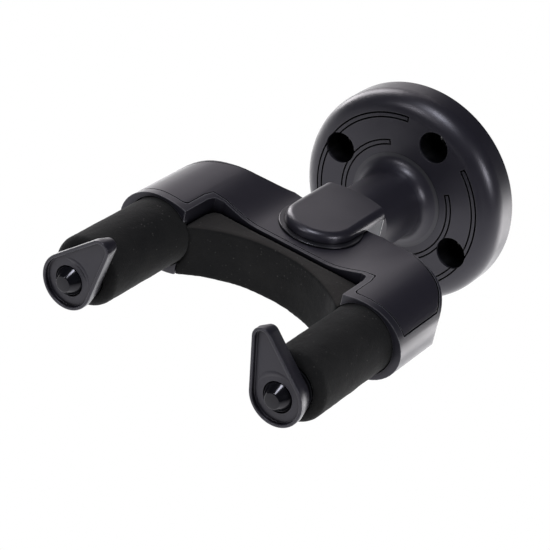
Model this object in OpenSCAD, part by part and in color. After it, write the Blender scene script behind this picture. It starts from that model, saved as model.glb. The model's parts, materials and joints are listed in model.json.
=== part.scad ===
// Wall guitar hanger. A round wall plate carries a swivelling neck. The neck ends in a fork, and a
// yoke pivots in the fork. Two foam-covered prongs hold the guitar's head, and a teardrop latch
// at the end of each prong keeps it from sliding off.
// Origin: centre of the wall plate's back face. +Z is up, +X is right seen from the front, and the
// prongs point towards -Y.

/* [Wall plate] */
// Outer diameter of the wall plate
plate_d = 74.2; // [73:0.2:78]
// Thickness of the wall plate at its rim
plate_t = 13; // [12.4:0.1:13.4]
// Radius of the rounded front rim
plate_round = 7; // [4:0.2:7.4]
// Diameter of the circle that the wall screws sit on
screw_pcd = 51.6; // [50:0.2:52]
// Diameter of each wall screw hole
screw_hole_d = 5.2; // [4.5:0.1:5.6]
// Diameter of each screw well in the front face
screw_well_d = 10.8; // [10:0.2:11.6]
// Turn of the wall plate's pattern against the level yoke, in degrees
plate_turn = -20; // [-45:1:45]

/* [Neck and fork] */
// Diameter of the round neck
neck_d = 23.4; // [22:0.2:24]
// Radius of the flare where the neck meets the wall plate
flare = 5; // [3:0.1:5]
// Distance from the wall to the root of the fork
fork_root = 42.7; // [40:0.1:43]
// Distance from the wall to the yoke's pivot pin
pivot_y = 61.5; // [61:0.1:62]
// Thickness of each tongue of the fork
tongue_t = 3.3; // [3:0.1:3.4]
// Diameter of the pivot pin
pivot_pin_d = 8; // [6:0.5:8]
// Height of the yoke's centre plane above the neck's axis
yoke_rise = 1.6; // [0:0.1:2]

/* [Yoke] */
// Distance between the centres of the two prongs
prong_spacing = 76; // [74:0.5:78]
// Height of the yoke's middle above its centre plane
waist_h = 7.4; // [7:0.1:7.4]
// Height of each arm above the yoke's centre plane
arm_h = 12.6; // [12:0.1:13]
// Distance from a prong's centre to the outer side of its arm
arm_out = 14.6; // [14:0.1:15]
// Distance from a prong's centre to the inner side of its arm
arm_in = 8.8; // [8.5:0.1:9]
// Distance from the wall to the front of the arms
arm_front = 95.3; // [94:0.1:97]
// Inset of the covers from the yoke's front edges
cover_inset = 2.8; // [2.4:0.1:3.2]
// Gap round the covers
cover_gap = 0.4; // [0.3:0.05:0.4]

/* [Prongs] */
// Diameter of the foam sleeves
sleeve_d = 22.4; // [21:0.2:23]
// Diameter of the steel tubes
tube_d = 12; // [11:0.5:12]
// Distance from the wall to the front end of the sleeves
sleeve_front = 132.4; // [131.6:0.1:132.5]

/* [Cradle pad] */
// Height of the pad's top above the yoke's centre plane
pad_top = 6.5; // [5:0.1:7]
// Distance of the pad's underside below the yoke's centre plane
pad_low = 11.4; // [8:0.1:11.4]
// Radius of the pad's hollow front
pad_r = 40; // [39:0.5:46]

/* [Latches] */
// Radius of the latch's big end
latch_big_r = 9; // [8.6:0.1:9.6]
// Radius of the latch's tip
latch_tip_r = 3.4; // [3:0.1:3.8]
// Distance from the latch's turning centre to the centre of its tip
latch_reach = 18.2; // [17:0.1:20]
// Thickness of the latch
latch_t = 5.9; // [5.9:0.1:6.5]
// Inset of the latch's back outline, which gives its side wall a slope
latch_draft = 1.1; // [0.2:0.1:1.4]
// Lean of the left latch from upright towards the middle, in degrees
left_lean = 31; // [0:1:90]
// Lean of the right latch from upright towards the middle, in degrees
right_lean = 27; // [0:1:90]

/* [Hidden] */
$fn = 64;
// A small overlap that keeps cut faces apart
eps = 0.1;
// Running clearance between parts that turn on each other
running = 0.05;
// Clearance between parts that don't run on each other
loose = 0.2;
plastic = [0.17, 0.165, 0.2];
cover_plastic = [0.2, 0.19, 0.23];
nylon = [0.12, 0.12, 0.14];
gloss = [0.06, 0.06, 0.07];
dark_steel = [0.25, 0.25, 0.26];
foam = [0.11, 0.11, 0.115];
steel = [0.62, 0.63, 0.65];
brass = [0.74, 0.6, 0.33];
acetal = [0.85, 0.85, 0.82];

// Wall plate, measured outward from the wall
plate_r = plate_d / 2;
seat_r = 17;
seat_drop = 0.4;
seat_z = plate_t - seat_drop;
dish_r = plate_r - plate_round;
back_plate_r = 33;
back_plate_t = 2;
cavity_r = 31.8;
cavity_z = 8.1;
hub_r = 13;
hub_z = 6;
well_wall = 1.8;
well_floor = 3.4;
rib_t = 1.6;
groove_w = 2.1;
groove_line = 0.55;
groove_z = plate_t - 1;
outer_groove_r = 29.8;
outer_groove_half = 66;
inner_groove_r = 20.3;
inner_groove_half = 51;

// Swivel between the wall plate and the neck
bush_r = 10;
bush_flange_r = 12;
bush_flange_t = 1;
spigot_r = 8;
spigot_z = hub_z - bush_flange_t - 0.1;
ring_in = 11.5;
ring_out = 15.5;
ring_z = seat_z - 1.1;
neck_base = seat_z + 0.1;
swivel_washer_r = 11.5;
swivel_washer_t = 1.5;
swivel_head_r = 4.5;
swivel_head_t = 2.4;
swivel_hex_r = 2.3;
swivel_hex_t = 1.5;
swivel_shank_r = 2.5;
swivel_screw_end = 24;

// Fork
neck_r = neck_d / 2;
tongue_top = neck_r - 0.2;
tongue_low = tongue_top - tongue_t;
tongue_round = 2.5;
tongue_bulge = 2.5;
fork_pad_t = 0.5;
block_z = fork_root - fork_pad_t;
block_half = tongue_low + 0.1;
block_length = 5;
block_corner_r = 15;
pin_r = pivot_pin_d / 2;
pin_top = tongue_top - 1.3;
plug_r = pin_r + 1.6;
plug_t = 1.2;
washer_r = neck_r + 1.8;
washer_t = 0.7;

// Yoke
prong_x = prong_spacing / 2;
waist_half = 12.5;
shoulder_x = prong_x - 2;
shoulder_steps = 12;
side_steps = 12;
rear_y = 52.5;
rear_half = 16;
rear_slope = 22.5;
corner_r = 16;
corner_x = prong_x + arm_out - corner_r;
corner_tip_x = corner_x + corner_r * sin(rear_slope);
corner_tip_y = rear_y + (corner_tip_x - rear_half) * tan(rear_slope);
corner_y = corner_tip_y + corner_r * cos(rear_slope);
lip_y = 79.1;
lip_half = 26;
crook_y = 83.5;
inner_x = prong_x - arm_in;
cover_t = 2.2;
cover_bed = 0.05;
cover_edge_z = 6.2;
cover_low_z = waist_h - cover_t;
cover_low_x = prong_x - 1;
crook_cut = 0.8;
crook_drop = 1.3;
cusp_round = 0.3;
cusp_steps = 4;
// Share of the front inset that applies to the arms' inner sides
inner_share = 0.7;
// How much closer to the edge the covers run along the lip
lip_gain = 1.5;
cover_rear_inset = 1;
hub_bore_r = 6;
hub_flange_r = 9;
hub_flange_t = 1;
front_recess_r = sleeve_d / 2 + 0.4;
front_recess = 1.5;
post_r = 2.4;
head_seat = 1.2;
// x, y and the height of the screw head's seat below the centre plane
post_places = [[13, -72, waist_h - head_seat], [-13, -72, waist_h - head_seat],
    [prong_x, -66.5, arm_h - head_seat], [-prong_x, -66.5, arm_h - head_seat]];
screw_r = 1.5;
screw_head_r = 2.9;
screw_head_t = 1.1;
screw_hex_r = 1.2;
screw_hex_t = 0.7;
screw_end = 2;
post_low = -1.8;

// Front of the pad in the middle, measured from the wall
pad_front_y = lip_y + 4.5;
pad_gap = 0.3;

// Prongs
tube_r = tube_d / 2;
tube_bore_r = tube_r - 1.5;
tube_rear = 70;
tube_front = 131.5;
cross_pin_r = 1.5;
cross_pin_y = 79;
cross_pin_half = 8.6;
plug_flange_r = 7.5;
plug_flange_t = 1;
plug_rear = 118;
sleeve_gap = 0.05;
latch_washer_r = 6.7;
latch_washer_t = 0.9;

// Latches
rim_w = 1.05;
rim_h = 1.3;
latch_hub_h = 0.7;
latch_back = tube_front + plug_flange_t + latch_washer_t + 2 * running + latch_hub_h;
latch_front = latch_back + latch_t;
panel_y = latch_front - rim_h;
latch_hub_r = 6.8;
shoulder_r = 3;
thread_r = 2;
head_r = 4.2;
head_t = 1.6;
latch_hex_r = 1.7;
latch_hex_t = 1.2;
cap_r = 4.8;
cap_floor = panel_y - 2.5;
button_base_r = 4.95;
button_top_r = 2.7;
button_h = 2.9;
skirt_gap = 0.9;

// Local +z leaves the wall, local +y is up
module outward() {
    rotate([90, 0, 0])
        children();
}

// Lifts its children from the neck's axis to the yoke's centre plane
module raised() {
    translate([0, 0, yoke_rise])
        children();
}

// Places its children at a prong: side is -1 for the left one and 1 for the right one
module at_prong(side) {
    translate([side * prong_x, 0, 0])
        outward()
            children();
}

// A ring or tube along local z
module ring(outer, inner, low, high) {
    translate([0, 0, low])
        difference() {
            cylinder(r = outer, h = high - low);
            translate([0, 0, -eps])
                cylinder(r = inner, h = high - low + 2 * eps);
        }
}

module disc(radius, low, high) {
    translate([0, 0, low])
        cylinder(r = radius, h = high - low);
}

module at_wells() {
    for (turn = [0 : 90 : 270])
        rotate([0, 0, plate_turn + turn])
            translate([screw_pcd / 2, 0, 0])
                children();
}

// A flat arc, centred on the local x axis
module arc_band(radius, half_angle, width) {
    far = 2 * radius;
    intersection() {
        difference() {
            circle(r = radius + width / 2);
            circle(r = radius - width / 2);
        }
        polygon([[0, 0],
            [far * cos(half_angle), -far * sin(half_angle)],
            [2 * far, -far * sin(half_angle)],
            [2 * far, far * sin(half_angle)],
            [far * cos(half_angle), far * sin(half_angle)]]);
    }
}

// ---- Wall plate ----

module plate_blank() {
    rotate_extrude($fn = 128)
        difference() {
            union() {
                square([dish_r, plate_t]);
                square([plate_r, plate_t - plate_round]);
                translate([dish_r, plate_t - plate_round])
                    intersection() {
                        circle(r = plate_round);
                        square(plate_round);
                    }
            }
            polygon([[-eps, seat_z], [seat_r, seat_z], [dish_r, plate_t], [dish_r, plate_t + 1],
                [-eps, plate_t + 1]]);
        }
}

module plate_cavity() {
    difference() {
        disc(cavity_r, back_plate_t - eps, cavity_z);
        disc(hub_r, hub_z, cavity_z + eps);
        at_wells()
            disc(screw_well_d / 2 + well_wall, 0, cavity_z + eps);
        for (turn = [45 : 90 : 315])
            rotate([0, 0, plate_turn + turn])
                translate([hub_r - 1, -rib_t / 2, back_plate_t - 1])
                    cube([cavity_r - hub_r + 2, rib_t, cavity_z]);
    }
}

// A closed slot round an arc-shaped panel
module arc_slot(radius, half_angle) {
    step = atan(groove_line / radius);
    difference() {
        arc_band(radius, half_angle, groove_w);
        arc_band(radius, half_angle - step, groove_w - 2 * groove_line);
    }
}

module plate_grooves() {
    for (turn = [0, 180])
        rotate([0, 0, plate_turn + turn])
            translate([0, 0, groove_z])
                linear_extrude(2) {
                    arc_slot(outer_groove_r, outer_groove_half);
                    arc_slot(inner_groove_r, inner_groove_half);
                }
}

module wall_plate() {
    color(plastic)
        outward()
            difference() {
                plate_blank();
                disc(back_plate_r + loose, -eps, back_plate_t);
                plate_cavity();
                disc(bush_r, 0, plate_t + eps);
                ring(ring_out + 0.1, ring_in - 0.1, ring_z, plate_t + eps);
                plate_grooves();
                at_wells() {
                    disc(screw_well_d / 2, well_floor, plate_t + 1);
                    disc(screw_hole_d / 2, 0, well_floor + eps);
                }
            }
}

module back_plate() {
    color(steel)
        outward()
            difference() {
                disc(back_plate_r, 0, back_plate_t);
                disc(hub_r + 1, -eps, back_plate_t + eps);
                at_wells()
                    disc(screw_hole_d / 2, -eps, back_plate_t + eps);
            }
}

// Low-friction ring that carries the neck's foot
module friction_ring() {
    color(acetal)
        outward()
            ring(ring_out, ring_in, ring_z, neck_base);
}

module swivel_bush() {
    color(brass)
        outward()
            difference() {
                union() {
                    disc(bush_flange_r, hub_z - bush_flange_t, hub_z);
                    disc(bush_r, hub_z - bush_flange_t, seat_z);
                }
                disc(spigot_r + running, 0, plate_t);
            }
}

module swivel_washer() {
    color(steel)
        outward()
            ring(swivel_washer_r, swivel_shank_r + loose, spigot_z - swivel_washer_t, spigot_z);
}

module swivel_screw() {
    head_top = spigot_z - swivel_washer_t;
    color(steel)
        outward()
            difference() {
                union() {
                    disc(swivel_head_r, head_top - swivel_head_t, head_top);
                    disc(swivel_shank_r, head_top - eps, swivel_screw_end);
                }
                translate([0, 0, head_top - swivel_head_t - eps])
                    cylinder(r = swivel_hex_r, h = swivel_hex_t + eps, $fn = 6);
            }
}

// ---- Neck ----

module neck_stem() {
    outward() {
        disc(spigot_r, spigot_z, neck_base + 1);
        disc(neck_r, neck_base, block_z);
        rotate_extrude()
            translate([neck_r - 1, neck_base])
                difference() {
                    square([flare + 1, flare]);
                    translate([flare + 1, flare])
                        circle(r = flare);
                }
    }
}

// One tongue with its outer edge rounded: it lies above z = 0
module tongue_shape() {
    flat_r = neck_r - tongue_round;
    shelf = tongue_t - tongue_round;
    back_r = (pow(neck_r, 2) + pow(tongue_bulge, 2)) / (2 * tongue_bulge);
    translate([0, -pivot_y, 0])
        rotate_extrude() {
            square([flat_r, tongue_t]);
            square([neck_r, shelf]);
            translate([flat_r, shelf])
                intersection() {
                    circle(r = tongue_round);
                    square(tongue_round);
                }
        }
    intersection() {
        translate([0, 1 - fork_root + tongue_bulge, 0])
            rotate([90, 0, 0])
                linear_extrude(pivot_y - fork_root + 1 + tongue_bulge) {
                    translate([-flat_r, 0])
                        square([2 * flat_r, tongue_t]);
                    translate([-neck_r, 0])
                        square([2 * neck_r, shelf]);
                    for (side = [-1, 1])
                        translate([side * flat_r, shelf])
                            circle(r = tongue_round, $fn = 48);
                }
        translate([0, tongue_bulge - back_r - fork_root, 0])
            cylinder(r = back_r, h = tongue_t, $fn = 96);
        translate([-neck_r, -pivot_y, 0])
            cube([2 * neck_r, 2 * neck_r, tongue_t]);
    }
}

// Flat-sided end of the neck between the two tongues
module fork_block() {
    outward()
        intersection() {
            translate([-neck_r, -block_half, block_z - block_length])
                cube([2 * neck_r, 2 * block_half, block_length]);
            translate([0, 0, block_z - block_length])
                cylinder(r1 = neck_r - 1, r2 = block_corner_r, h = block_length);
        }
}

module neck() {
    color(plastic)
        difference() {
            union() {
                neck_stem();
                raised() {
                    fork_block();
                    for (side = [0, 1])
                        mirror([0, 0, side])
                            translate([0, 0, tongue_low])
                                tongue_shape();
                }
            }
            outward()
                disc(swivel_shank_r + running, 0, swivel_screw_end + 1);
            translate([0, -pivot_y, yoke_rise]) {
                disc(pin_r, -tongue_top - eps, pin_top);
                disc(plug_r + running, -tongue_top - eps, plug_t - tongue_top);
            }
        }
}

// Pale wear pad on the flat between the tongues
module fork_pad() {
    color(acetal)
        raised()
            translate([eps - neck_r, -fork_root, eps - tongue_low])
                cube([2 * (neck_r - eps), fork_pad_t, 2 * (tongue_low - eps)]);
}

module pivot_pin() {
    color(steel)
        raised()
            translate([0, -pivot_y, 0])
                disc(pin_r, plug_t - tongue_top + 0.1, pin_top - 0.1);
}

module pin_plug() {
    color(plastic)
        raised()
            translate([0, -pivot_y, 0])
                disc(plug_r, -tongue_top, plug_t - tongue_top);
}

module pivot_washers() {
    color(nylon)
        raised()
            translate([0, -pivot_y, 0])
                for (side = [0, 1])
                    mirror([0, 0, side])
                        ring(washer_r, pin_r + 0.1, tongue_low - running - washer_t, tongue_low - running);
}

// ---- Yoke ----

function blend_step(t) = t * t * (3 - 2 * t);

// Upper right outline of the yoke seen from the front, pulled in by d
function front_quarter(d) = concat(
    [for (i = [0 : shoulder_steps])
        let (t = i / shoulder_steps)
            [waist_half + t * (shoulder_x - waist_half), waist_h - d + blend_step(t) * (arm_h - waist_h)]],
    [for (i = [0 : side_steps])
        let (a = 90 - 90 * i / side_steps)
            [prong_x + (arm_out - d) * cos(a), (arm_h - d) * sin(a)]]);

function turned(points) = [for (i = [len(points) - 1 : -1 : 0]) points[i]];
function flip_x(points) = [for (p = points) [-p[0], p[1]]];
function flip_y(points) = [for (p = points) [p[0], -p[1]]];

// The yoke's outline seen from the front, pulled in by d
module front_outline(d) {
    right = front_quarter(d);
    lower_right = flip_y(turned(right));
    polygon(concat(right, lower_right, flip_x(turned(lower_right)), flip_x(turned(right))));
}

// Right half of the yoke's plan: front edges pulled in by front_in, rear and side by rear_in
function plan_half(front_in, rear_in) = let (lip_in = max(0, front_in - lip_gain)) concat(
    [[rear_half, rear_in - rear_y]],
    [for (i = [0 : side_steps])
        let (a = 90 - rear_slope - (90 - rear_slope) * i / side_steps)
            [corner_x + (corner_r - rear_in) * cos(a), (corner_r - rear_in) * sin(a) - corner_y]],
    [[prong_x + arm_out - rear_in, front_in - arm_front]],
    let (side_x = inner_x + inner_share * front_in, round = cusp_round + front_in / 2)
        [for (i = [0 : cusp_steps])
            let (a = 90 * i / cusp_steps)
                [side_x + round * (1 - sin(a)), front_in - arm_front + round * (1 - cos(a))]],
    [[inner_x + inner_share * front_in, lip_in / 2 - crook_y],
        [inner_x - crook_cut + inner_share * front_in, lip_in - lip_y - crook_drop],
        [lip_half, lip_in - lip_y]]);

module plan_outline(front_in, rear_in) {
    right = plan_half(front_in, rear_in);
    polygon(concat(right, flip_x(turned(right))));
}

// The part of the yoke's body between a plan and a front outline
module yoke_blank(front_in, rear_in, d) {
    intersection() {
        translate([0, 0, -arm_h - 1])
            linear_extrude(2 * arm_h + 2)
                plan_outline(front_in, rear_in);
        outward()
            translate([0, 0, rear_y - 1])
                linear_extrude(arm_front)
                    front_outline(d);
    }
}

// The curved sheet of a cover, above the centre plane
module cover_sheet(gap, depth) {
    difference() {
        intersection() {
            yoke_blank(cover_inset + gap, cover_rear_inset + gap, 0);
            union() {
                translate([-cover_low_x, -arm_front, cover_low_z - depth])
                    cube([2 * cover_low_x, arm_front, arm_h]);
                translate([-arm_front, -arm_front, cover_edge_z + gap])
                    cube([2 * arm_front, arm_front, arm_h]);
            }
        }
        yoke_blank(0, 0, cover_t + depth);
    }
}

module at_posts() {
    for (place = post_places)
        translate([place[0], place[1], 0])
            children();
}

module yoke_frame() {
    color(plastic)
        raised()
            difference() {
                yoke_blank(0, 0, 0);
                for (side = [0, 1])
                    mirror([0, 0, side])
                        cover_sheet(0, cover_bed);
                translate([0, -pivot_y, 0]) {
                    disc(hub_bore_r, -arm_h, arm_h);
                    disc(hub_flange_r, waist_h - hub_flange_t, arm_h);
                    disc(hub_flange_r, -arm_h, hub_flange_t - waist_h);
                }
                at_posts()
                    disc(post_r + loose, -arm_h, arm_h);
                for (side = [-1, 1]) {
                    at_prong(side) {
                        disc(tube_r, tube_rear, arm_front + 1);
                        disc(front_recess_r, arm_front - front_recess, arm_front + 1);
                    }
                    translate([side * prong_x, -cross_pin_y, 0])
                        disc(cross_pin_r, -arm_h, arm_h);
                }
            }
}

module top_cover() {
    color(cover_plastic)
        raised()
            difference() {
                union() {
                    cover_sheet(cover_gap, 0);
                    intersection() {
                        at_posts()
                            disc(post_r, post_low, arm_h);
                        yoke_blank(cover_inset + 1, cover_rear_inset + 1, 1);
                    }
                }
                at_posts()
                    disc(screw_r, post_low - 1, waist_h - screw_end + 0.4);
                translate([0, -pivot_y, 0])
                    disc(hub_flange_r + loose, 0, arm_h);
            }
}

module bottom_cover() {
    color(cover_plastic)
        raised()
            difference() {
                mirror([0, 0, 1])
                    cover_sheet(cover_gap, 0);
                at_posts()
                    disc(screw_r + loose, -arm_h - 1, 0);
                for (place = post_places)
                    translate([place[0], place[1], 0])
                        disc(screw_head_r, -arm_h - 1, -place[2]);
                translate([0, -pivot_y, 0])
                    disc(hub_flange_r + loose, -arm_h, 0);
            }
}

module cover_screws() {
    color(steel)
        raised()
            for (place = post_places)
                translate([place[0], place[1], -place[2]])
                    difference() {
                        union() {
                            disc(screw_r, -eps, place[2] + waist_h - screw_end);
                            disc(screw_head_r - loose, -screw_head_t, 0);
                        }
                        translate([0, 0, -screw_head_t - eps])
                            cylinder(r = screw_hex_r, h = screw_hex_t + eps, $fn = 6);
                    }
}

module pivot_bush() {
    color(brass)
        raised()
            translate([0, -pivot_y, 0])
                difference() {
                    union() {
                        disc(hub_bore_r, -waist_h + hub_flange_t, waist_h - hub_flange_t);
                        disc(hub_flange_r, waist_h - hub_flange_t, waist_h);
                        disc(hub_flange_r, -waist_h, hub_flange_t - waist_h);
                    }
                    disc(pin_r + running, -arm_h, arm_h);
                }
}

// ---- Prongs ----

module tube_pins() {
    color(steel)
        raised()
            for (side = [-1, 1])
                translate([side * prong_x, -cross_pin_y, 0])
                    disc(cross_pin_r, -cross_pin_half, cross_pin_half);
}

module prong_tube(side) {
    color(steel)
        raised()
            difference() {
                at_prong(side)
                    ring(tube_r, tube_bore_r, tube_rear, tube_front);
                translate([side * prong_x, -cross_pin_y, 0])
                    disc(cross_pin_r, -arm_h, arm_h);
            }
}

module prong_sleeve(side) {
    color(foam)
        raised()
            at_prong(side)
                difference() {
                    ring(sleeve_d / 2, tube_r + sleeve_gap, arm_front - front_recess + loose, sleeve_front);
                    disc(plug_flange_r + loose, tube_front - eps, sleeve_front + eps);
                }
}

module end_plug(side) {
    color(nylon)
        raised()
            at_prong(side)
                difference() {
                    union() {
                        disc(tube_bore_r, plug_rear, tube_front);
                        disc(plug_flange_r, tube_front, tube_front + plug_flange_t);
                    }
                    disc(thread_r, plug_rear - eps, tube_front + plug_flange_t + eps);
                }
}

module cradle_pad() {
    side_x = inner_x - loose;
    pad_side = [[lip_half, -lip_y - pad_gap], [side_x - crook_cut, -lip_y - crook_drop - pad_gap],
        [side_x, -crook_y - pad_gap], [side_x, -arm_front]];
    color(foam)
        raised()
            difference() {
                translate([0, 0, -pad_low])
                    linear_extrude(pad_top + pad_low)
                        difference() {
                            polygon(concat(pad_side, flip_x(turned(pad_side))));
                            translate([0, -pad_front_y - pad_r])
                                circle(r = pad_r, $fn = 128);
                        }
                for (side = [-1, 1])
                    at_prong(side)
                        disc(front_recess_r, arm_front - front_recess, arm_front + 1);
            }
}

// ---- Latches ----

// Turns local +x towards the latch's tip: up, leaning towards the middle
module lean(side) {
    rotate([0, 0, 90 + (side < 0 ? -left_lean : right_lean)])
        children();
}

// Teardrop outline with its tip on local +x, pulled in by d
module teardrop(d) {
    tilt = acos((latch_big_r - latch_tip_r) / latch_reach);
    big = latch_big_r - d;
    tip = latch_tip_r - d;
    circle(r = big);
    translate([latch_reach, 0])
        circle(r = tip, $fn = 48);
    polygon([[big * cos(tilt), big * sin(tilt)],
        [latch_reach + tip * cos(tilt), tip * sin(tilt)],
        [latch_reach + tip * cos(tilt), -tip * sin(tilt)],
        [big * cos(tilt), -big * sin(tilt)]]);
}

// The latch's outer shape, with side walls that slope in towards the back
module latch_blank() {
    hull() {
        translate([0, 0, latch_back])
            linear_extrude(eps)
                teardrop(latch_draft);
        translate([0, 0, latch_front - 2])
            linear_extrude(2)
                teardrop(0);
    }
}

module latch(side) {
    color(plastic)
        raised()
            at_prong(side)
                lean(side)
                    difference() {
                        union() {
                            latch_blank();
                            disc(latch_hub_r, latch_back - latch_hub_h, latch_back + eps);
                        }
                        translate([0, 0, panel_y])
                            linear_extrude(rim_h + 1)
                                teardrop(rim_w);
                        disc(shoulder_r + running, 0, latch_front);
                        disc(cap_r, cap_floor, latch_front);
                    }
}

module latch_screw(side) {
    color(steel)
        raised()
            at_prong(side)
                difference() {
                    union() {
                        disc(thread_r, plug_rear + 2, tube_front + plug_flange_t);
                        disc(shoulder_r, tube_front + plug_flange_t, cap_floor + 0.1);
                        disc(head_r, cap_floor + 0.1, cap_floor + 0.1 + head_t);
                    }
                    translate([0, 0, cap_floor + 0.1 + head_t - latch_hex_t])
                        cylinder(r = latch_hex_r, h = latch_hex_t + eps, $fn = 6);
                }
}

module latch_washer(side) {
    low = tube_front + plug_flange_t + running;
    color(dark_steel)
        raised()
            at_prong(side)
                ring(latch_washer_r, shoulder_r + loose, low, low + latch_washer_t);
}

// Cone-shaped cap over the latch screw, with a skirt that snaps into the latch
module button(side) {
    color(gloss)
        raised()
            at_prong(side)
                difference() {
                    union() {
                        translate([0, 0, panel_y])
                            cylinder(r1 = button_base_r, r2 = button_top_r, h = button_h);
                        disc(cap_r, cap_floor + skirt_gap, panel_y + eps);
                    }
                    disc(head_r + loose, 0, panel_y + eps);
                }
}

wall_plate();
back_plate();
friction_ring();
swivel_bush();
swivel_washer();
swivel_screw();
neck();
fork_pad();
pivot_pin();
pin_plug();
pivot_washers();
pivot_bush();
yoke_frame();
top_cover();
bottom_cover();
cover_screws();
tube_pins();
prong_tube(-1);  // tube_left
prong_tube(1);  // tube_right
prong_sleeve(-1);  // sleeve_left
prong_sleeve(1);  // sleeve_right
cradle_pad();
end_plug(-1);  // end_plug_left
end_plug(1);  // end_plug_right
latch_screw(-1);  // latch_screw_left
latch_screw(1);  // latch_screw_right
latch_washer(-1);  // latch_washer_left
latch_washer(1);  // latch_washer_right
latch(-1);  // latch_left
latch(1);  // latch_right
button(-1);  // button_left
button(1);  // button_right
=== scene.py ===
"""Looks of the wall guitar hanger: satin black mouldings, foam prongs and cradle pad, on a white sweep."""

import json
import math

import bmesh
import bpy
from mathutils import Matrix, Vector, noise


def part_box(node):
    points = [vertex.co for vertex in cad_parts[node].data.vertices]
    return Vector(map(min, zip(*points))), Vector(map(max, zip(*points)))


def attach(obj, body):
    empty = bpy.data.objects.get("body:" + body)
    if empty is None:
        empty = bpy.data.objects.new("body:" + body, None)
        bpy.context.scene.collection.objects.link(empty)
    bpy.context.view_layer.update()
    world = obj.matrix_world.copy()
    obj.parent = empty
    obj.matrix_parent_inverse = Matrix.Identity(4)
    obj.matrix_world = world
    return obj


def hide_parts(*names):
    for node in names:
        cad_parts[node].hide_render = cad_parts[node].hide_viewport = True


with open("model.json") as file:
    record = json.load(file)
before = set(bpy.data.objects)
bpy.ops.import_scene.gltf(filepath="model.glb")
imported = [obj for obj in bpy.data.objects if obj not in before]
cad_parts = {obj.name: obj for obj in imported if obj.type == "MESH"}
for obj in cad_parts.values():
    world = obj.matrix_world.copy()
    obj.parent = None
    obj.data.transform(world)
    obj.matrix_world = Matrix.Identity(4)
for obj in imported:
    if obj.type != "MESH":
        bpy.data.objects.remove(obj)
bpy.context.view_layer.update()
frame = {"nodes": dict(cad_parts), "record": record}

MM = 0.001


def box_mm(node):
    """Lowest and highest corners of a CAD node, in mm."""
    return [[round(value / MM, 2) for value in corner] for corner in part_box(node)]


def lean(side):
    """Angle in degrees by which a latch leans towards the middle at rest."""
    joints = {joint["name"]: joint for joint in frame["record"]["behaviour"]["joints"]}
    return -joints[f"latch_{side}_turn"]["range_deg"][0]


# Sizes worked out from the CAD, in mm. Those named Y, FRONT or REAR are distances from the wall
GAP = 0.05
RIM_DEPTH = 1.3
DISH_DEPTH = 0.9
SLEEVE_LOW, SLEEVE_HIGH = box_mm("sleeve_right")
PRONG_X = (SLEEVE_LOW[0] + SLEEVE_HIGH[0]) / 2
YOKE_Z = (SLEEVE_LOW[2] + SLEEVE_HIGH[2]) / 2
SLEEVE_R = SLEEVE_HIGH[0] - PRONG_X
SLEEVE_FRONT = -SLEEVE_LOW[1]
SLEEVE_REAR = -SLEEVE_HIGH[1] + GAP
TUBE_R = box_mm("tube_right")[1][0] - PRONG_X + GAP
PANEL_Y = -box_mm("latch_right")[0][1] - RIM_DEPTH
DISH_Y = -box_mm("wall_plate")[0][1] - DISH_DEPTH

# The circle that holds the screw wells, in mm, and the painted shade inside them: its colour and its dulled
# gloss
WELLS_R = 31.5
WELL_SHADE_COLOUR = (0.002, 0.002, 0.0025)
WELL_SHADE_SHINE = 0.2


# ---- Materials ----

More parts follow.
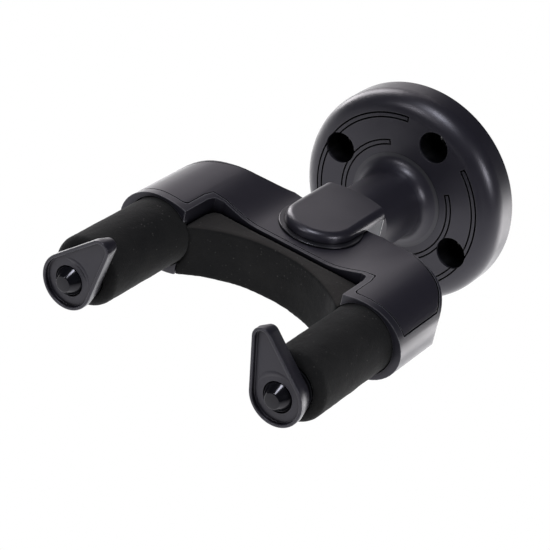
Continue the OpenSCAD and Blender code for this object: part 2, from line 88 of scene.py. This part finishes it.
class Nodes:
    """Short calls for building one node tree."""

    def __init__(self, name=None, material=None):
        self.material = material or bpy.data.materials.new(name)
        self.material.use_nodes = True
        self.tree = self.material.node_tree
        self.shader = self.tree.nodes["Principled BSDF"]

    def add(self, kind, **values):
        node = self.tree.nodes.new(kind)
        for key, value in values.items():
            if key in node.inputs:
                node.inputs[key].default_value = value
            else:
                setattr(node, key, value)
        return node

    def link(self, source, target):
        self.tree.links.new(source, target)

    def coordinates(self):
        return self.add("ShaderNodeTexCoord").outputs["Object"]

    def noise(self, place, scale, detail=4.0, rough=0.55):
        node = self.add("ShaderNodeTexNoise", Scale=scale, Detail=detail, Roughness=rough)
        self.link(place, node.inputs["Vector"])
        return node.outputs["Fac"]

    def spread(self, value, low, high, start=0.3, end=0.7):
        """Maps part of a value's range to another range."""
        node = self.add("ShaderNodeMapRange")
        node.inputs["From Min"].default_value = start
        node.inputs["From Max"].default_value = end
        node.inputs["To Min"].default_value = low
        node.inputs["To Max"].default_value = high
        self.link(value, node.inputs["Value"])
        return node.outputs["Result"]

    def mix(self, factor, first, second):
        """A blend of two colours, each a tuple or a socket."""
        node = self.add("ShaderNodeMix", data_type="RGBA")
        self.link(factor, node.inputs["Factor"])
        for value, socket in ((first, node.inputs["A"]), (second, node.inputs["B"])):
            if isinstance(value, tuple):
                socket.default_value = (*value, 1.0)
            else:
                self.link(value, socket)
        return node.outputs["Result"]

    def openness(self, distance_mm, low, start, end):
        """1 on open faces, falling to a low value in gaps, recesses and corners."""
        node = self.add("ShaderNodeAmbientOcclusion", samples=8, Distance=distance_mm * MM)
        return self.spread(node.outputs["AO"], low, 1.0, start=start, end=end)

    def scaled(self, colour, factor):
        """A colour times a number."""
        node = self.add("ShaderNodeVectorMath", operation="SCALE")
        self.link(colour, node.inputs[0])
        self.link(factor, node.inputs["Scale"])
        return node.outputs["Vector"]

    def times(self, first, second):
        """The product of two sockets or numbers."""
        node = self.add("ShaderNodeMath", operation="MULTIPLY")
        for value, socket in ((first, node.inputs[0]), (second, node.inputs[1])):
            if isinstance(value, float):
                socket.default_value = value
            else:
                self.link(value, socket)
        return node.outputs["Value"]

    def edges(self, radius_mm):
        """1 close to sharp edges, 0 elsewhere."""
        rounded = self.add("ShaderNodeBevel", samples=6, Radius=radius_mm * MM)
        dot = self.add("ShaderNodeVectorMath", operation="DOT_PRODUCT")
        self.link(rounded.outputs["Normal"], dot.inputs[0])
        self.link(self.add("ShaderNodeNewGeometry").outputs["Normal"], dot.inputs[1])
        return self.spread(dot.outputs["Value"], 1.0, 0.0, start=0.8, end=0.96)

    def bump(self, height, distance, strength=1.0, under=None):
        """A bumped normal, on top of another one if given."""
        node = self.add("ShaderNodeBump", Strength=strength, Distance=distance)
        self.link(height, node.inputs["Height"])
        if under is not None:
            self.link(under, node.inputs["Normal"])
        return node.outputs["Normal"]


def moulded_plastic(name, dark, light, rough_low, rough_high, grain=0.004, shine=0.5, edge_highlight_tone=0.03,
                    shade_reach_mm=1.6):
    """Satin moulded plastic: fine grain and slow flow marks, with painted highlights on sharp edges and
    painted shade, dark and dull, in gaps and corners.
    """
    n = Nodes(name)
    place = n.coordinates()
    flow = n.noise(place, 34.0, detail=3.0)
    grain_noise = n.noise(place, 2600.0, detail=2.0)
    smudge = n.noise(place, 95.0, detail=5.0, rough=0.65)
    base = n.mix(n.spread(flow, 0.0, 1.0), dark, light)
    # Painted shade: base colour and reflections dimmed in gaps, recesses and corners.
    painted_shade_factor = n.openness(shade_reach_mm, 0.08, 0.4, 0.75)
    # Painted highlight: sharp open edges mixed towards a lighter tone.
    painted_edge_highlight = n.times(n.edges(0.8), n.openness(0.8, 0.0, 0.7, 0.95))
    tone = n.mix(painted_edge_highlight, base, (edge_highlight_tone, edge_highlight_tone, edge_highlight_tone * 1.1))
    n.link(n.scaled(tone, painted_shade_factor), n.shader.inputs["Base Color"])
    n.link(n.spread(smudge, rough_low, rough_high), n.shader.inputs["Roughness"])
    coarse = n.bump(flow, 0.1 * MM, strength=0.2)
    n.link(n.bump(grain_noise, grain * MM, under=coarse), n.shader.inputs["Normal"])
    n.link(n.times(painted_shade_factor, shine), n.shader.inputs["Specular IOR Level"])
    n.shader.inputs["Specular Tint"].default_value = (0.95, 0.92, 1.0, 1.0)
    return n.material


def paint_well_shade(material):
    """Paints shade inside the screw wells, dark and dull, where they lie behind the dished face."""
    n = Nodes(material=material)
    place = n.add("ShaderNodeSeparateXYZ")
    n.link(n.coordinates(), place.inputs["Vector"])
    below = n.spread(place.outputs["Y"], 0.0, 1.0, start=-(DISH_Y + 0.3) * MM, end=-(DISH_Y - 0.5) * MM)
    flat = n.add("ShaderNodeVectorMath", operation="MULTIPLY")
    n.link(n.coordinates(), flat.inputs[0])
    flat.inputs[1].default_value = (1.0, 0.0, 1.0)
    distance = n.add("ShaderNodeVectorMath", operation="LENGTH")
    n.link(flat.outputs["Vector"], distance.inputs[0])
    inside = n.spread(distance.outputs["Value"], 1.0, 0.0, start=WELLS_R * MM, end=(WELLS_R + 0.2) * MM)
    # Painted shade mask: inside the screw wells, behind the dished face.
    well_shade = n.times(below, inside)
    colour = n.shader.inputs["Base Color"]
    n.link(n.mix(well_shade, colour.links[0].from_socket, WELL_SHADE_COLOUR), colour)
    shine = n.shader.inputs["Specular IOR Level"]
    n.link(n.times(shine.links[0].from_socket, n.spread(well_shade, 1.0, WELL_SHADE_SHINE, start=0.0, end=1.0)), shine)
    return material


def foam_rubber(name, top=None):
    """Matte closed-cell foam: fine pores, pale specks and a soft nap, with painted shade in gaps and near
    other parts. A given top colour is painted light on the upward-facing faces.
    """
    n = Nodes(name)
    place = n.coordinates()
    cells = n.add("ShaderNodeTexVoronoi", Scale=2400.0)
    n.link(place, cells.inputs["Vector"])
    specks = n.add("ShaderNodeTexVoronoi", Scale=620.0)
    n.link(place, specks.inputs["Vector"])
    cloud = n.noise(place, 70.0, detail=6.0, rough=0.7)
    fine = n.noise(place, 3200.0, detail=3.0)
    tone = n.mix(n.spread(cloud, 0.0, 1.0), (0.0042, 0.0043, 0.0046), (0.0086, 0.0083, 0.0082))
    # Painted light: upward-facing faces mixed towards the lighter top colour.
    if top:
        normal = n.add("ShaderNodeSeparateXYZ")
        n.link(n.add("ShaderNodeNewGeometry").outputs["Normal"], normal.inputs["Vector"])
        tone = n.mix(n.spread(normal.outputs["Z"], 0.0, 1.0, start=0.6, end=0.9), tone, top)
    speck = n.spread(specks.outputs["Distance"], 1.0, 0.0, start=0.06, end=0.17)
    patches = n.spread(n.noise(place, 160.0), 0.0, 1.0, start=0.42, end=0.62)
    tone = n.mix(n.times(speck, patches), tone, (0.055, 0.053, 0.05))
    # Painted shade: base colour darker in gaps and close to other parts.
    n.link(n.scaled(tone, n.openness(5.0, 0.1, 0.3, 0.75)), n.shader.inputs["Base Color"])
    n.shader.inputs["Roughness"].default_value = 0.95
    n.shader.inputs["Specular IOR Level"].default_value = 0.18
    n.shader.inputs["Sheen Weight"].default_value = 0.05
    n.shader.inputs["Sheen Roughness"].default_value = 0.5
    pores = n.bump(cells.outputs["Distance"], 0.09 * MM, strength=0.7)
    n.link(n.bump(fine, 0.04 * MM, under=pores), n.shader.inputs["Normal"])
    return n.material


def metal(name, colour, rough, brush):
    """Turned or plated metal with fine tool marks."""
    n = Nodes(name)
    place = n.coordinates()
    stretch = n.add("ShaderNodeMapping")
    stretch.inputs["Scale"].default_value = brush
    n.link(place, stretch.inputs["Vector"])
    marks = n.noise(stretch.outputs["Vector"], 900.0, detail=3.0)
    stain = n.noise(place, 120.0)
    darker = tuple(c * 0.75 for c in colour)
    n.link(n.mix(n.spread(stain, 0.0, 1.0), darker, colour), n.shader.inputs["Base Color"])
    n.shader.inputs["Metallic"].default_value = 1.0
    n.link(n.spread(marks, rough * 0.75, rough * 1.3), n.shader.inputs["Roughness"])
    n.link(n.bump(marks, 0.01 * MM), n.shader.inputs["Normal"])
    return n.material


SATIN = {"dark": (0.0125, 0.0118, 0.0165), "light": (0.0165, 0.0155, 0.0215),
         "rough_low": 0.3, "rough_high": 0.38}
# This plastic has a lighter painted edge highlight and painted shade that reaches further.
BLACK = moulded_plastic("black_plastic", **SATIN, edge_highlight_tone=0.1, shade_reach_mm=5.0)
NECK = moulded_plastic("neck_plastic", **SATIN)
PLATE = paint_well_shade(moulded_plastic("plate_plastic", **SATIN))
COVER = moulded_plastic("cover_plastic", (0.0145, 0.0134, 0.019), (0.0185, 0.0172, 0.0235), 0.3, 0.37)
GLOSS = moulded_plastic("glossy_cap", (0.004, 0.004, 0.0055), (0.0055, 0.0055, 0.007), 0.1, 0.17, grain=0.001,
                        shine=0.34)
NYLON = moulded_plastic("washer_plastic", (0.009, 0.009, 0.012), (0.013, 0.013, 0.015), 0.24, 0.34)
# Near-white plastic for the fork pad and the friction ring; on the fork pad its pale tone stands in for a
# bright reflection in the gap: painted reflection.
PAINTED_REFLECTION_PLASTIC = moulded_plastic("white_plastic", (0.78, 0.78, 0.8), (0.84, 0.84, 0.86), 0.4, 0.5)
FOAM = foam_rubber("foam")
# The pad's upward-facing faces are lighter: painted light.
PAD_FOAM = foam_rubber("pad_foam", top=(0.021, 0.019, 0.018))
STEEL = metal("steel", (0.27, 0.28, 0.3), 0.36, (1, 6, 1))
DARK_STEEL = metal("dark_screws", (0.06, 0.06, 0.065), 0.35, (1, 1, 1))
BRASS = metal("brass", (0.7, 0.52, 0.26), 0.28, (1, 6, 1))
BY_SLOT = {
    "black_plastic": BLACK, "cover_plastic": COVER, "glossy_cap": GLOSS, "washer_plastic": NYLON,
    "white_plastic": PAINTED_REFLECTION_PLASTIC, "foam": FOAM, "steel": STEEL, "dark_screws": DARK_STEEL, "brass": BRASS,
}
SLOT_OF = {part["node"]: part["material_slot"] for part in frame["record"]["subparts"]}
BODY_OF = {node: body for body, nodes in frame["record"]["behaviour"]["bodies"].items() for node in nodes}


# ---- Mesh helpers ----

def paint(obj, material):
    """Gives the whole object one material."""
    obj.data.materials.clear()
    obj.data.materials.append(material)


def smooth(obj, degrees=32.0):
    """Smooth shading with sharp edges kept."""
    for face in obj.data.polygons:
        face.use_smooth = True
    obj.data.set_sharp_from_angle(angle=math.radians(degrees))


def apply_modifiers(obj):
    """Turns the modified shape into the object's own mesh."""
    graph = bpy.context.evaluated_depsgraph_get()
    mesh = bpy.data.meshes.new_from_object(obj.evaluated_get(graph))
    obj.modifiers.clear()
    obj.data = mesh


def stand_in(obj, node, material=None):
    """Puts a finished mesh in the place of a CAD node."""
    paint(obj, material or BY_SLOT[SLOT_OF[node]])
    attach(obj, BODY_OF[node])
    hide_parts(node)
    return obj


def mesh_object(name, bm):
    """Makes an object from a bmesh."""
    mesh = bpy.data.meshes.new(name)
    bm.to_mesh(mesh)
    bm.free()
    obj = bpy.data.objects.new(name, mesh)
    bpy.context.scene.collection.objects.link(obj)
    return obj


def cad_copy(node):
    """A copy of a CAD node with its triangles joined into faces."""
    bm = bmesh.new()
    bm.from_mesh(frame["nodes"][node].data)
    bmesh.ops.remove_doubles(bm, verts=bm.verts, dist=0.002 * MM)
    bmesh.ops.dissolve_limit(bm, angle_limit=math.radians(0.4), verts=bm.verts, edges=bm.edges)
    return mesh_object(node + "_visual", bm)


def refined(node, bevel_mm, segments=3, crease=28.0):
    """A CAD node with its sharp edges rounded."""
    obj = cad_copy(node)
    bevel = obj.modifiers.new("round", "BEVEL")
    bevel.width = bevel_mm * MM
    bevel.segments = segments
    bevel.limit_method = "ANGLE"
    bevel.angle_limit = math.radians(crease)
    bevel.use_clamp_overlap = True
    apply_modifiers(obj)
    smooth(obj, 35.0)
    weighted = obj.modifiers.new("flats", "WEIGHTED_NORMAL")
    weighted.keep_sharp = True
    weighted.weight = 60
    apply_modifiers(obj)
    return obj


def lathe(name, profile, place, segments=96):
    """A solid turned from (radius, height) points in mm about an axis that leaves the wall."""
    bm = bmesh.new()
    rings = []
    for radius, height in profile:
        ring = []
        for i in range(segments):
            angle = 2 * math.pi * i / segments
            ring.append(bm.verts.new(((place[0] + radius * math.cos(angle)) * MM, -height * MM,
                                      (place[1] + radius * math.sin(angle)) * MM)))
        rings.append(ring)
    for first, second in zip(rings, rings[1:] + rings[:1]):
        for i in range(segments):
            j = (i + 1) % segments
            bm.faces.new((first[i], second[i], second[j], first[j]))
    bmesh.ops.remove_doubles(bm, verts=bm.verts, dist=0.0005 * MM)
    bmesh.ops.recalc_face_normals(bm, faces=bm.faces)
    return mesh_object(name, bm)


def arc_points(centre, radius, start, end, steps):
    """Points on an arc, angles in degrees."""
    return [(centre[0] + radius * math.cos(math.radians(start + (end - start) * i / steps)),
             centre[1] + radius * math.sin(math.radians(start + (end - start) * i / steps)))
            for i in range(steps + 1)]


def roughen(obj, amount_mm, size_mm, seed):
    """Pushes vertices in and out by a smooth noise."""
    mesh = obj.data
    mesh.update()
    normals = [Vector(v.normal) for v in mesh.vertices]
    for vertex, normal in zip(mesh.vertices, normals):
        spot = vertex.co / (size_mm * MM) + Vector((seed, 0.0, 0.0))
        vertex.co += normal * (noise.noise(spot) * amount_mm * MM)
    mesh.update()


# ---- Foam ----

def foam_sleeve(side):
    """Foam tube with a soft rounded front end."""
    rounding = 2.7
    mouth_r, mouth_depth = 7.7, 1.0
    front = arc_points((SLEEVE_R - rounding, SLEEVE_FRONT - rounding), rounding, 0, 90, 10)
    steps = 44
    length = SLEEVE_FRONT - rounding - SLEEVE_REAR
    straight = [(SLEEVE_R, SLEEVE_REAR + length * i / steps) for i in range(steps)]
    mouth = [(mouth_r + 0.2, SLEEVE_FRONT), (mouth_r, SLEEVE_FRONT - 0.2),
             (mouth_r, SLEEVE_FRONT - mouth_depth), (TUBE_R, SLEEVE_FRONT - mouth_depth)]
    profile = [(TUBE_R, SLEEVE_REAR), *straight, *front, *mouth]
    sign = -1 if side == "left" else 1
    obj = lathe(f"sleeve_{side}_visual", profile, (sign * PRONG_X, YOKE_Z), segments=180)
    roughen(obj, 0.1, 5.0, 3.0 + sign)
    roughen(obj, 0.06, 1.3, 7.0 + sign)
    smooth(obj, 70.0)
    stand_in(obj, f"sleeve_{side}")


def foam_pad():
    """Moulded pad with soft edges."""
    obj = cad_copy("cradle_pad")
    obj.name = "cradle_pad_visual"
    remesh = obj.modifiers.new("cells", "REMESH")
    remesh.mode = "VOXEL"
    remesh.voxel_size = 0.55 * MM
    soften = obj.modifiers.new("soften", "SMOOTH")
    soften.factor = 0.5
    soften.iterations = 6
    apply_modifiers(obj)
    roughen(obj, 0.12, 6.0, 1.0)
    roughen(obj, 0.06, 1.4, 5.0)
    smooth(obj, 70.0)
    stand_in(obj, "cradle_pad", PAD_FOAM)


# ---- Latches ----

def button(side):
    """Polished frustum cap that stands in a shallow groove."""
    foot_r, foot_y = 4.62, PANEL_Y - 1.0
    edge_r, edge_round = 2.32, 0.38
    top_y = PANEL_Y + 2.9
    profile = [(0.0, foot_y), (foot_r, foot_y), (foot_r, PANEL_Y - 0.05),
               *arc_points((edge_r, top_y - edge_round), edge_round, 38, 90, 5), (0.0, top_y + 0.03)]
    sign = -1 if side == "left" else 1
    obj = lathe(f"button_{side}_visual", profile, (sign * PRONG_X, YOKE_Z))
    smooth(obj, 25.0)
    stand_in(obj, f"button_{side}")


def outline(grid):
    """The border vertices of a grid of vertices, in order."""
    right_side = [row[-1] for row in grid[-2::-1]]
    return [row[0] for row in grid] + grid[-1][1:] + right_side + grid[0][-2:0:-1]


def ridge(side):
    """Soft crescent-shaped swelling of the latch's panel on the tip side of the button."""
    sign = -1 if side == "left" else 1
    middle = 90.0 + sign * lean(side)
    half_angle, radius, half_width, height = 56.0, 7.3, 1.3, 0.22
    sunk, floor_depth = 0.06, 0.3
    along, across = 40, 10
    bm = bmesh.new()
    rows = []
    for i in range(along + 1):
        share = 2 * i / along - 1
        angle = math.radians(middle + half_angle * share)
        fade = math.cos(share * math.pi / 2) ** 0.7 if abs(share) < 1 else 0.0
        row = []
        for j in range(across + 1):
            u = 2 * j / across - 1
            r = radius + half_width * u * (0.25 + 0.75 * fade)
            lift = height * fade * math.cos(u * math.pi / 2) ** 2 - sunk
            row.append(bm.verts.new(((sign * PRONG_X + r * math.cos(angle)) * MM, -(PANEL_Y + lift) * MM,
                                     (YOKE_Z + r * math.sin(angle)) * MM)))
        rows.append(row)
    floor = [[bm.verts.new((v.co.x, -(PANEL_Y - floor_depth) * MM, v.co.z)) for v in row] for row in rows]
    for grid in (rows, floor):
        for first, second in zip(grid, grid[1:]):
            for j in range(across):
                bm.faces.new((first[j], first[j + 1], second[j + 1], second[j]))
    top, bottom = outline(rows), outline(floor)
    for i in range(len(top)):
        j = (i + 1) % len(top)
        bm.faces.new((top[i], top[j], bottom[j], bottom[i]))
    bmesh.ops.recalc_face_normals(bm, faces=bm.faces)
    obj = mesh_object(f"latch_ridge_{side}", bm)
    smooth(obj, 60.0)
    paint(obj, BLACK)
    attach(obj, f"latch_{side}")


# ---- Pieces ----

# CAD nodes shown with rounded edges, and the width of the rounding in mm
REFINED = {
    "wall_plate": 0.16, "neck": 0.4, "yoke_frame": 0.35, "top_cover": 0.22, "bottom_cover": 0.22,
    "latch_left": 0.3, "latch_right": 0.3, "pivot_washers": 0.25,
}
OWN_MATERIAL = {"wall_plate": PLATE, "neck": NECK}
REMODELLED = {"sleeve_left", "sleeve_right", "cradle_pad", "button_left", "button_right"}
for node, bevel_mm in REFINED.items():
    stand_in(refined(node, bevel_mm), node, OWN_MATERIAL.get(node))
for side in ("left", "right"):
    foam_sleeve(side)
    button(side)
    ridge(side)
foam_pad()
for node, obj in frame["nodes"].items():
    paint(obj, BY_SLOT[SLOT_OF[node]])
    if node not in REFINED and node not in REMODELLED:
        smooth(obj)


# ---- Stage, light and camera ----

CAMERA_AZIMUTH = 28.0
CAMERA_ELEVATION = 31.66
CAMERA_ROLL = 12.378
CAMERA_DISTANCE = 0.69866
CAMERA_TARGET = Vector((-0.012973, -0.060, -0.016730))
CAMERA_LENS = 141.8
FLOOR_Z = -0.22
FLOOR_HALF = 6.0
LIGHT_TARGET = Vector((0, -0.07, 0))


def view_back():
    """Unit vector from the hanger to the camera."""
    azimuth, elevation = math.radians(CAMERA_AZIMUTH), math.radians(CAMERA_ELEVATION)
    return Vector((math.sin(azimuth) * math.cos(elevation), -math.cos(azimuth) * math.cos(elevation),
                   math.sin(elevation)))


def area_light(name, direction, distance, size, power, colour):
    """A rectangular light that shines on the hanger from a direction, unseen by the camera."""
    place = LIGHT_TARGET + Vector(direction).normalized() * distance
    data = bpy.data.lights.new(name, "AREA")
    data.shape = "RECTANGLE"
    data.size, data.size_y = size
    data.energy = power
    data.color = colour
    lamp = bpy.data.objects.new(name, data)
    bpy.context.scene.collection.objects.link(lamp)
    lamp.location = place
    lamp.rotation_mode = "QUATERNION"
    lamp.rotation_quaternion = (LIGHT_TARGET - place).to_track_quat("-Z", "Y")
    lamp.visible_camera = False
    return lamp


def make_stage():
    """A pale floor that the camera sees as plain white paper."""
    bm = bmesh.new()
    half = FLOOR_HALF
    corners = ((-half, -half), (half, -half), (half, half), (-half, half))
    bm.faces.new([bm.verts.new((x, y, FLOOR_Z)) for x, y in corners])
    floor = mesh_object("studio_floor", bm)
    n = Nodes("studio_floor")
    n.shader.inputs["Base Color"].default_value = (0.6, 0.6, 0.6, 1)
    n.shader.inputs["Roughness"].default_value = 0.9
    n.shader.inputs["Emission Color"].default_value = (1, 1, 1, 1)
    depth = n.add("ShaderNodeSeparateXYZ")
    n.link(n.coordinates(), depth.inputs["Vector"])
    n.link(n.spread(depth.outputs["Y"], 0.45, 1.6, start=-0.5, end=0.3), n.shader.inputs["Emission Strength"])
    glow = n.add("ShaderNodeEmission", Strength=1.0)
    seen = n.add("ShaderNodeLightPath").outputs["Is Camera Ray"]
    blend = n.add("ShaderNodeMixShader")
    n.link(seen, blend.inputs[0])
    n.link(n.shader.outputs["BSDF"], blend.inputs[1])
    n.link(glow.outputs["Emission"], blend.inputs[2])
    n.link(blend.outputs["Shader"], n.tree.nodes["Material Output"].inputs["Surface"])
    paint(floor, n.material)


# White cards in the surroundings: direction, cosine of the angle where the glow starts and where it is full,
# brightness
GLOWS = (
    (-view_back(), 0.5, 0.85, 0.08),
    (Vector((-0.75, 0.65, 0.1)).normalized(), 0.6, 0.95, 0.12),
    (Vector((0.75, 0.6, -0.25)).normalized(), 0.7, 0.95, 0.05),
)
AMBIENT = 0.01


def make_world():
    """White for the camera; for reflections, white cards behind, at both sides and low in front."""
    world = bpy.data.worlds.new("studio")
    bpy.context.scene.world = world
    world.use_nodes = True
    tree = world.node_tree
    background = tree.nodes["Background"]
    background.inputs["Color"].default_value = (1.0, 1.0, 1.0, 1.0)
    direction = tree.nodes.new("ShaderNodeTexCoord").outputs["Generated"]
    total = None
    for glow, start, full, amount in GLOWS:
        dot = tree.nodes.new("ShaderNodeVectorMath")
        dot.operation = "DOT_PRODUCT"
        dot.inputs[1].default_value = glow
        tree.links.new(direction, dot.inputs[0])
        ramp = tree.nodes.new("ShaderNodeMapRange")
        ramp.interpolation_type = "SMOOTHSTEP"
        ramp.inputs["From Min"].default_value = start
        ramp.inputs["From Max"].default_value = full
        ramp.inputs["To Max"].default_value = amount
        tree.links.new(dot.outputs["Value"], ramp.inputs["Value"])
        add = tree.nodes.new("ShaderNodeMath")
        add.operation = "ADD"
        tree.links.new(ramp.outputs["Result"], add.inputs[0])
        add.inputs[1].default_value = AMBIENT
        if total is not None:
            tree.links.new(total, add.inputs[1])
        total = add.outputs["Value"]
    seen = tree.nodes.new("ShaderNodeLightPath").outputs["Is Camera Ray"]
    pick = tree.nodes.new("ShaderNodeMix")
    tree.links.new(seen, pick.inputs["Factor"])
    tree.links.new(total, pick.inputs["A"])
    pick.inputs["B"].default_value = 1.0
    tree.links.new(pick.outputs["Result"], background.inputs["Strength"])


def make_camera():
    """A long lens above the right front, tilted about its own axis."""
    roll = math.radians(CAMERA_ROLL)
    back = view_back()
    right = (-back).cross(Vector((0, 0, 1))).normalized()
    up = right.cross(-back)
    tilted_right = right * math.cos(roll) + up * math.sin(roll)
    tilted_up = up * math.cos(roll) - right * math.sin(roll)
    data = bpy.data.cameras.new("camera")
    data.sensor_width = 36.0
    data.lens = CAMERA_LENS
    data.clip_start = 0.01
    data.clip_end = 50.0
    camera = bpy.data.objects.new("camera", data)
    bpy.context.scene.collection.objects.link(camera)
    turn = Matrix((tilted_right, tilted_up, back)).transposed()
    camera.matrix_world = Matrix.Translation(CAMERA_TARGET + back * CAMERA_DISTANCE) @ turn.to_4x4()
    bpy.context.scene.camera = camera


make_stage()
make_world()
# Name, direction from the hanger, distance in m, size in m, power in W, colour
area_light("key", (-0.1, -0.38, 0.92), 1.0, (0.2, 0.3), 5.0, (0.9, 0.93, 1.0))
area_light("edge_strip", (-0.4, -0.71, 0.57), 1.0, (0.2, 0.1), 1.8, (0.97, 0.97, 1.0))
area_light("right_box", (0.85, -0.2, 0.48), 1.0, (0.22, 0.25), 3.4, (0.95, 0.96, 1.0))
area_light("rear_left", (-0.62, 0.64, 0.45), 0.42, (0.3, 0.4), 0.3, (1.0, 0.95, 0.98))
area_light("left_card", (-0.85, 0.45, 0.3), 0.9, (0.3, 0.7), 5.0, (1.0, 0.97, 0.98))
area_light("right_card", (0.58, 0.7, -0.38), 0.5, (0.25, 0.3), 0.9, (1.0, 0.98, 0.97))
bpy.context.scene.view_settings.view_transform = "Standard"
make_camera()
